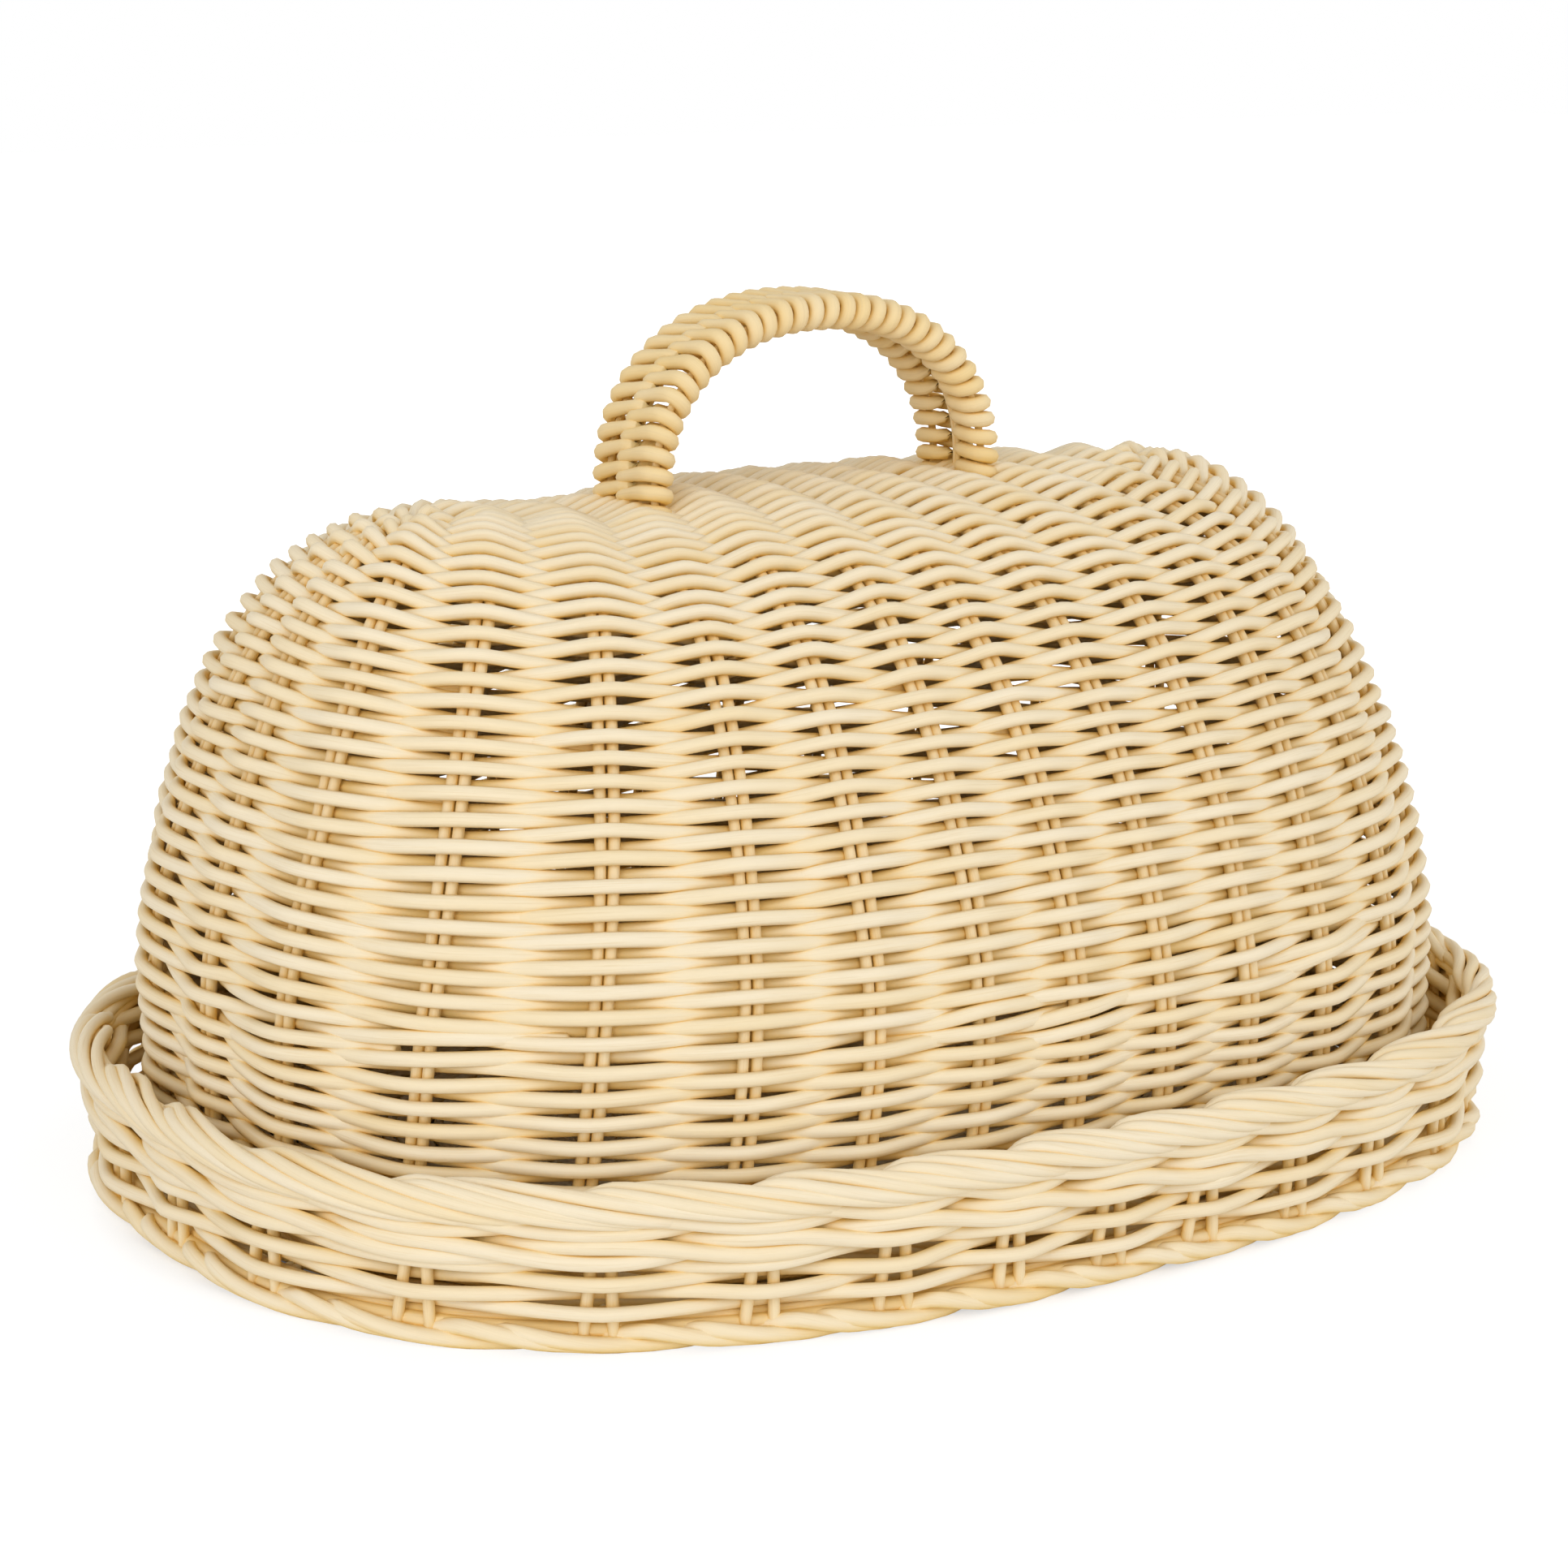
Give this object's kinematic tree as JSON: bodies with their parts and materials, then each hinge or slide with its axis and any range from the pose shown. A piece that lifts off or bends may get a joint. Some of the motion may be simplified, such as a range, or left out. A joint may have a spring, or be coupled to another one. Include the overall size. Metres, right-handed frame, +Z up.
{
  "type": "lidded rattan bread basket",
  "caption": "Oval tray of woven rattan with a rolled rim and plaited foot, and a tall domed lid with a woven arch handle that lifts off.",
  "frame": {"origin": "on the surface that the basket stands on, under the middle of the tray", "axes": "+Z up, X along the tray's long axis, Y across it"},
  "size_m": [0.4392, 0.3412, 0.2616],
  "materials": {
    "cane": "peeled rattan core, natural, satin",
    "stake_cane": "peeled rattan core, slightly darker, matte"
  },
  "bodies": {
    "tray": {"tray_foot_border": "cane", "tray_wall_weave": "cane", "tray_wale": "cane", "tray_rim": "cane", "tray_floor_weave": "cane", "floor_cross_stick_1": "stake_cane", "floor_cross_stick_2": "stake_cane", "floor_cross_stick_3": "stake_cane", "floor_cross_stick_4": "stake_cane", "floor_cross_stick_5": "stake_cane", "floor_cross_stick_6": "stake_cane", "floor_cross_stick_7": "stake_cane", "floor_long_stick_1": "stake_cane", "floor_long_stick_2": "stake_cane"},
    "lid": {"lid_border": "cane", "lid_lower_weave": "cane", "lid_wale": "cane", "lid_upper_weave": "cane", "lid_arch_stakes_1": "stake_cane", "lid_arch_stakes_2": "stake_cane", "lid_arch_stakes_3": "stake_cane", "lid_arch_stakes_4": "stake_cane", "lid_arch_stakes_5": "stake_cane", "lid_arch_stakes_6": "stake_cane", "lid_arch_stakes_7": "stake_cane", "lid_arch_stakes_8": "stake_cane", "lid_arch_stakes_9": "stake_cane", "lid_long_stakes_1": "stake_cane", "lid_long_stakes_2": "stake_cane", "lid_end_stakes_1": "stake_cane", "lid_end_stakes_2": "stake_cane", "lid_end_stakes_3": "stake_cane", "lid_end_stakes_4": "stake_cane", "lid_end_stakes_5": "stake_cane", "lid_end_stakes_6": "stake_cane", "lid_end_stakes_7": "stake_cane", "lid_end_stakes_8": "stake_cane", "handle_wrap": "cane", "handle_rod_1": "stake_cane", "handle_rod_2": "stake_cane", "handle_rod_3": "stake_cane", "handle_rod_4": "stake_cane"}
  },
  "joints": [
    {"name": "lid_lift", "type": "slide", "parent": "tray", "child": "lid", "axis": [0, 0, 1], "range_m": [0, 0.12]}
  ]
}
